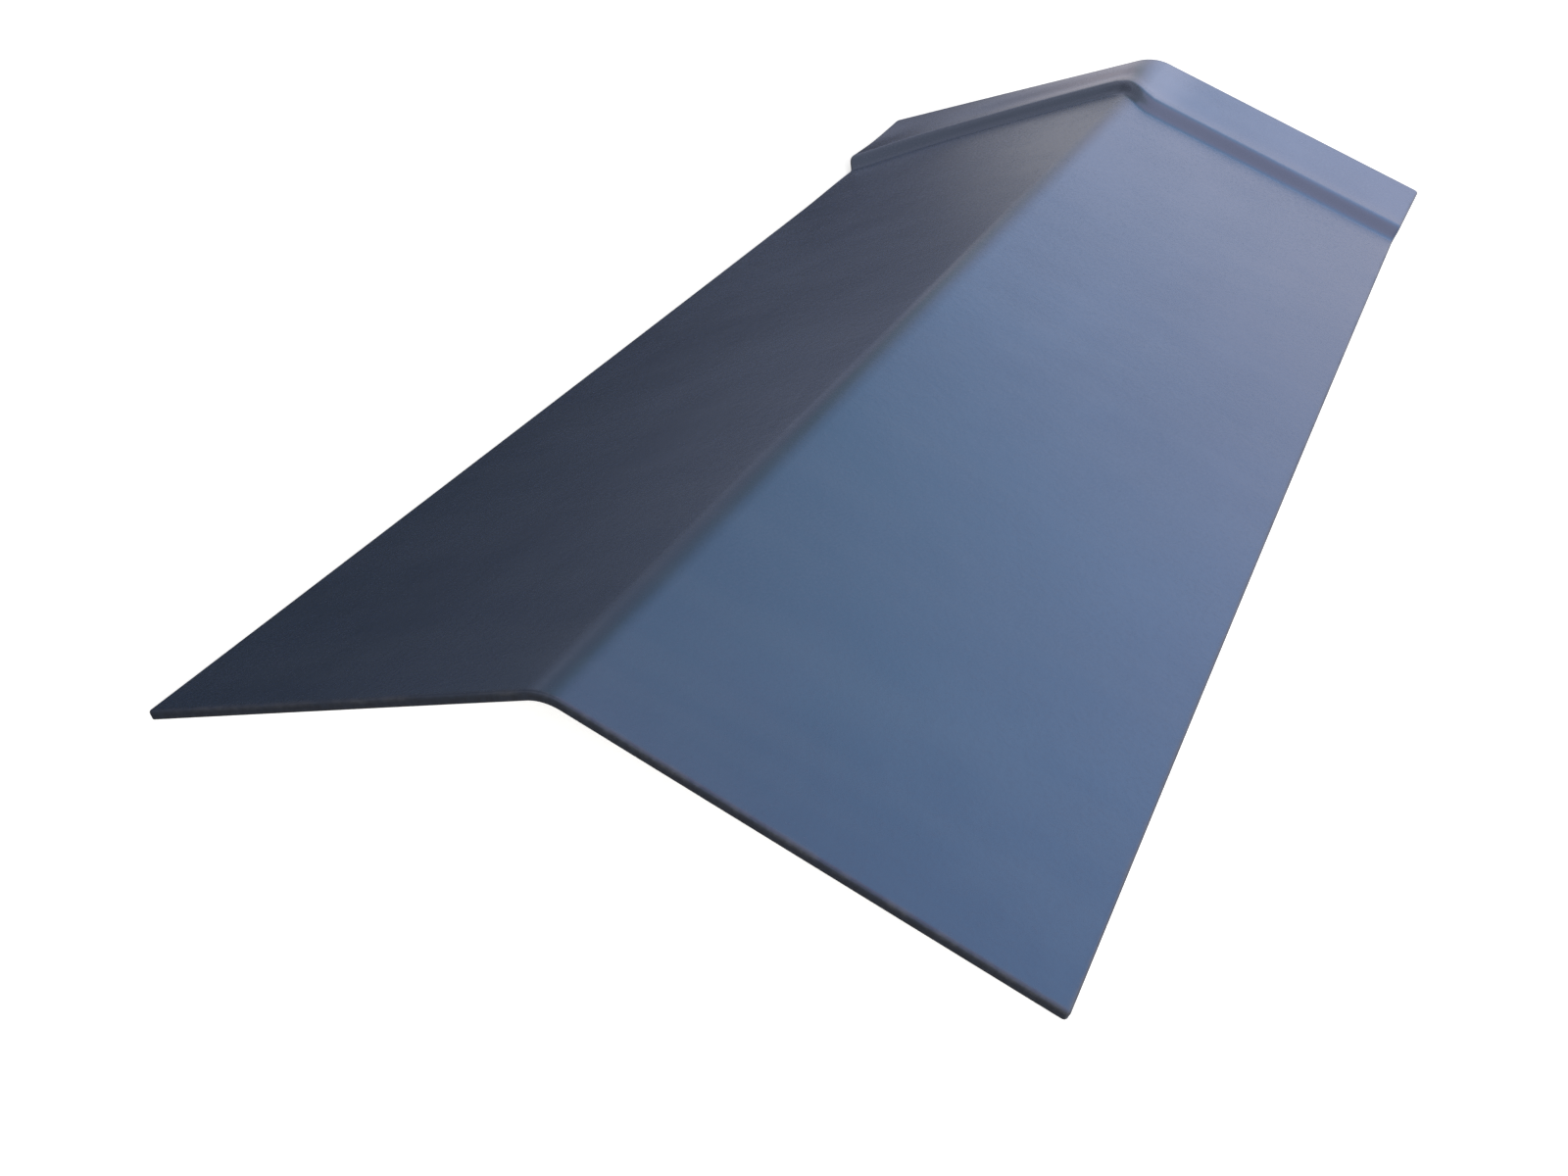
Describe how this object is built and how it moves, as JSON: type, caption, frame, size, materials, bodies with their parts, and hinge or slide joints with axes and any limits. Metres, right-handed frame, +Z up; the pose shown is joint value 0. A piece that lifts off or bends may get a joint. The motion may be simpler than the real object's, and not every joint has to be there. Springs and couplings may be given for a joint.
{
  "type": "ridge cap",
  "caption": "Angular fibre cement ridge cap: equal sloping wings from a rounded fold, plain at one end and stepped up at the other into a raised collar that laps the next cap",
  "frame": {"origin": "centre of the footprint, on the plane that the lower edges of the wings rest on", "axes": "+Y runs along the ridge from the plain end to the collar's mouth, +Z is up through the fold, X runs across the wings"},
  "size_m": [0.4708, 1, 0.0975],
  "materials": {
    "coated_fibre_cement": "satin slate-blue coating on moulded fibre cement"
  },
  "bodies": {
    "root": {"ridge_cap": "coated_fibre_cement"}
  },
  "joints": []
}
